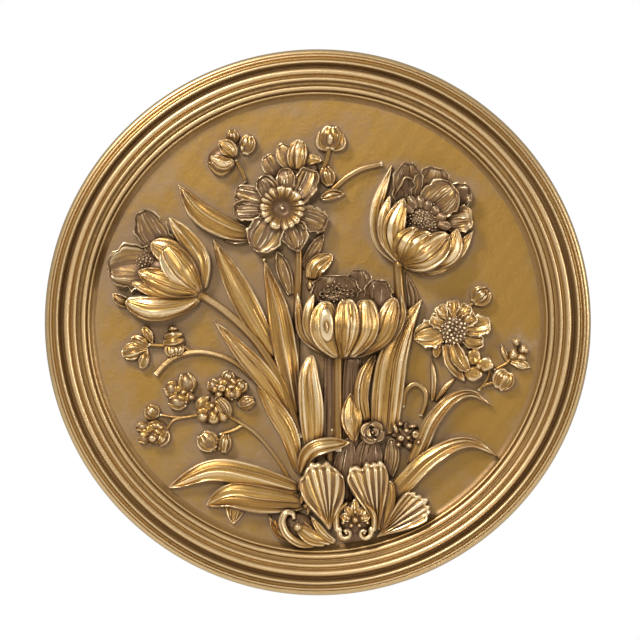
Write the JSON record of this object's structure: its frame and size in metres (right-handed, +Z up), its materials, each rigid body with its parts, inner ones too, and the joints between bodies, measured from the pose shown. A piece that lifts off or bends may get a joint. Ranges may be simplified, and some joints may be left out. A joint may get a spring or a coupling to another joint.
{
  "type": "wall plaque",
  "caption": "Round gilded wall plaque with tulips, a daffodil, leaves and shells in high relief inside a moulded frame.",
  "frame": {"origin": "centre of the flat back, on the wall plane", "axes": "+Z up, +X to the right as seen from the front, +Y into the wall; the relief faces -Y"},
  "size_m": [0.4, 0.0346, 0.4],
  "materials": {
    "antique_gold": "cast resin painted antique gold, rubbed bright on the high parts, with a brown glaze in the recesses"
  },
  "bodies": {
    "root": {"plaque": "antique_gold"}
  },
  "joints": []
}
